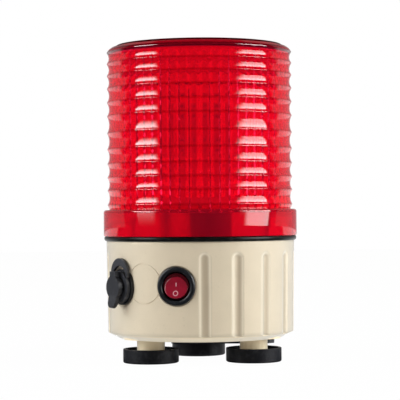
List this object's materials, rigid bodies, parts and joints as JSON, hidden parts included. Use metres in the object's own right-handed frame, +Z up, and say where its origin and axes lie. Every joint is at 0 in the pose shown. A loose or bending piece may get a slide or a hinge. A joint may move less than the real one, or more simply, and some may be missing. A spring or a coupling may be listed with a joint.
{
  "type": "rotating beacon light",
  "caption": "Round warning beacon: red ridged lens over a motor-driven mirror, cream housing with rocker switch and capped charging socket, on magnet feet.",
  "frame": {"origin": "on the lens axis, in the plane of the magnet feet's undersides", "axes": "+Z up along the lens axis, the side with the switch faces about -Y, +X to the viewer's right"},
  "size_m": [0.12, 0.12, 0.195],
  "materials": {
    "housing": "fine moulded texture",
    "red_lens": "clear red moulded plastic",
    "rubber": "satin black",
    "black_plastic": "satin black",
    "deck_plastic": "moulded cream",
    "motor_shell": "dark",
    "red_rocker": "glossy red",
    "screw_steel": "bright",
    "motor_steel": "zinc plated",
    "motor_cap": "moulded",
    "brass_parts": "bright",
    "ceramic": "glazed",
    "clear_glass": "clear",
    "lead_sleeve": "sleeved wire",
    "cell_sleeve": "plain sleeve",
    "board": "green laminate",
    "board_parts": "moulded",
    "pot_steel": "black",
    "ferrite": "sintered",
    "white_gear": "natural",
    "mirror": "metallised"
  },
  "bodies": {
    "base": {"base_housing": "housing", "seal_ring": "rubber", "chassis_deck": "deck_plastic", "deck_screws": "screw_steel", "gear_deck": "deck_plastic", "leg_screws": "screw_steel", "lamp_post": "screw_steel", "post_nut": "brass_parts", "rotor_clip": "screw_steel", "lamp_holder": "ceramic", "bulb_cap": "brass_parts", "bulb_glass": "clear_glass", "filament": "screw_steel", "lamp_leads": "lead_sleeve", "motor_can": "motor_shell", "motor_cap": "motor_cap", "motor_screws": "screw_steel", "switch_body": "black_plastic", "switch_terminals": "brass_parts", "socket_body": "black_plastic", "socket_nut": "screw_steel", "socket_pins": "brass_parts", "cap_ring": "rubber", "battery_tray": "black_plastic", "battery_cells": "cell_sleeve", "battery_cover": "black_plastic", "cover_screws": "screw_steel", "charge_board": "board", "board_parts": "board_parts", "board_screws": "screw_steel", "foot_boot_rear": "rubber", "foot_boot_left": "rubber", "foot_boot_right": "rubber", "foot_pot_rear": "pot_steel", "foot_pot_left": "pot_steel", "foot_pot_right": "pot_steel", "foot_magnet_rear": "ferrite", "foot_magnet_left": "ferrite", "foot_magnet_right": "ferrite", "foot_screws": "screw_steel"},
    "rotor": {"drive_gear": "white_gear", "gear_bush": "brass_parts", "reflector_bracket": "motor_steel", "reflector": "mirror", "reflector_screws": "screw_steel"},
    "armature": {"motor_shaft": "screw_steel", "pinion": "brass_parts"},
    "lens": {"lens_cover": "red_lens"},
    "switch_rocker": {"rocker": "red_rocker"},
    "socket_cap": {"dust_cap": "rubber"}
  },
  "joints": [
    {"name": "rotor_spin", "type": "hinge", "parent": "base", "child": "rotor", "pos_m": [0, 0, 0.1], "axis": [0, 0, 1], "continuous": true},
    {"name": "motor_spin", "type": "hinge", "parent": "base", "child": "armature", "pos_m": [0.00614, -0.03877, 0.099], "axis": [0, 0, 1], "continuous": true},
    {"name": "lens_twist", "type": "hinge", "parent": "base", "child": "lens", "pos_m": [0, 0, 0.085], "axis": [0, 0, 1], "range_deg": [0, 25]},
    {"name": "rocker_tilt", "type": "hinge", "parent": "base", "child": "switch_rocker", "pos_m": [-0.01369, -0.0533, 0.0478], "axis": [0.9686, -0.2487, 0], "range_deg": [0, 18]},
    {"name": "cap_open", "type": "hinge", "parent": "base", "child": "socket_cap", "pos_m": [-0.05077, -0.03621, 0.0551], "axis": [-0.5807, 0.8141, 0], "range_deg": [0, 100]}
  ],
  "couplings": [
    {"joint": "motor_spin", "follows": "rotor_spin", "ratio": -6}
  ]
}
